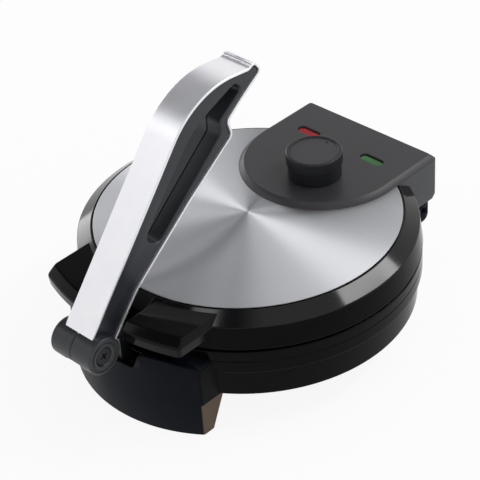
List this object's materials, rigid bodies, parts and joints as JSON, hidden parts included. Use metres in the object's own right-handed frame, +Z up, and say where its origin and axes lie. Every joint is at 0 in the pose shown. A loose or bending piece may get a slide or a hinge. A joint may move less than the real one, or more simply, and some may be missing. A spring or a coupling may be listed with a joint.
{
  "type": "electric roti maker",
  "caption": "Round electric roti maker on short legs, with a hinged lid, a control housing with a knob and lamps, and a long press lever at the front.",
  "frame": {"origin": "the middle of the closed object's outline, on the table", "axes": "+Z up; -Y towards the front with the lever; +Y towards the lid's hinge; +X the object's right"},
  "size_m": [0.2444, 0.3048, 0.2153],
  "materials": {
    "gloss_black": "polished",
    "black_cover": "fine grain",
    "satin_navy": "satin",
    "satin_black": "satin",
    "satin_grey": "satin",
    "rubber": "matt",
    "coated_plate": "dark non-stick coating",
    "heater_tube": "dull",
    "sheet_steel": "pressed sheet",
    "brass": "dull",
    "ivory_plastic": "matt",
    "black_steel": "black paint",
    "brushed_disc": "brushed in rings",
    "green_board": "matt",
    "red_lens": "clear gloss",
    "green_lens": "clear gloss",
    "silver_wrap": "satin",
    "screw_steel": "bright"
  },
  "bodies": {
    "base": {"base_shell": "gloss_black", "bottom_cover": "black_cover", "cover_screws": "screw_steel", "front_leg": "satin_navy", "rear_leg": "satin_navy", "leg_screws": "screw_steel", "rubber_feet": "rubber", "lower_plate": "coated_plate", "lower_element": "heater_tube", "lower_shield": "sheet_steel", "lower_posts": "screw_steel", "lower_post_screws": "screw_steel", "thermal_fuse": "brass", "terminal_block": "ivory_plastic", "cord_gland": "rubber", "hinge_block": "satin_navy", "block_screws": "screw_steel", "hinge_pins": "screw_steel", "lever_bracket": "black_steel", "bracket_screws": "screw_steel"},
    "lid": {"lid_ring": "gloss_black", "top_disc": "brushed_disc", "lid_screws": "screw_steel", "upper_plate": "coated_plate", "upper_element": "heater_tube", "upper_shield": "sheet_steel", "upper_posts": "screw_steel", "upper_post_screws": "screw_steel", "control_housing": "satin_grey", "lamp_boards": "green_board", "red_lens": "red_lens", "green_lens": "green_lens", "housing_cover": "black_cover", "hinge_bracket": "black_steel", "housing_screws": "screw_steel", "thermostat": "ivory_plastic"},
    "knob": {"thermostat_spindle": "screw_steel", "control_knob": "satin_black", "knob_cap": "satin_grey"},
    "lever_hub": {"lever_axle": "screw_steel", "hub_cap_left": "satin_black", "hub_cap_right": "satin_black"},
    "lever": {"lever_strip": "silver_wrap", "lever_half_left": "satin_black", "lever_half_right": "satin_black"}
  },
  "joints": [
    {"name": "lid_hinge", "type": "hinge", "parent": "base", "child": "lid", "pos_m": [0, 0.1419, 0.0495], "axis": [-1, 0, 0], "range_deg": [0, 90]},
    {"name": "knob_turn", "type": "hinge", "parent": "lid", "child": "knob", "pos_m": [0.009, 0.0784, 0.1], "axis": [0, 0, -1], "range_deg": [0, 270]},
    {"name": "lever_swing", "type": "hinge", "parent": "base", "child": "lever_hub", "pos_m": [0, -0.1389, 0.0709], "axis": [1, 0, 0], "range_deg": [0, 139.5]},
    {"name": "lever_press", "type": "hinge", "parent": "lever_hub", "child": "lever", "pos_m": [0, -0.1389, 0.0709], "axis": [-1, 0, 0], "range_deg": [0, 9]}
  ],
  "couplings": [
    {"joint": "lever_swing", "follows": "lid_hinge", "ratio": 1.55}
  ]
}
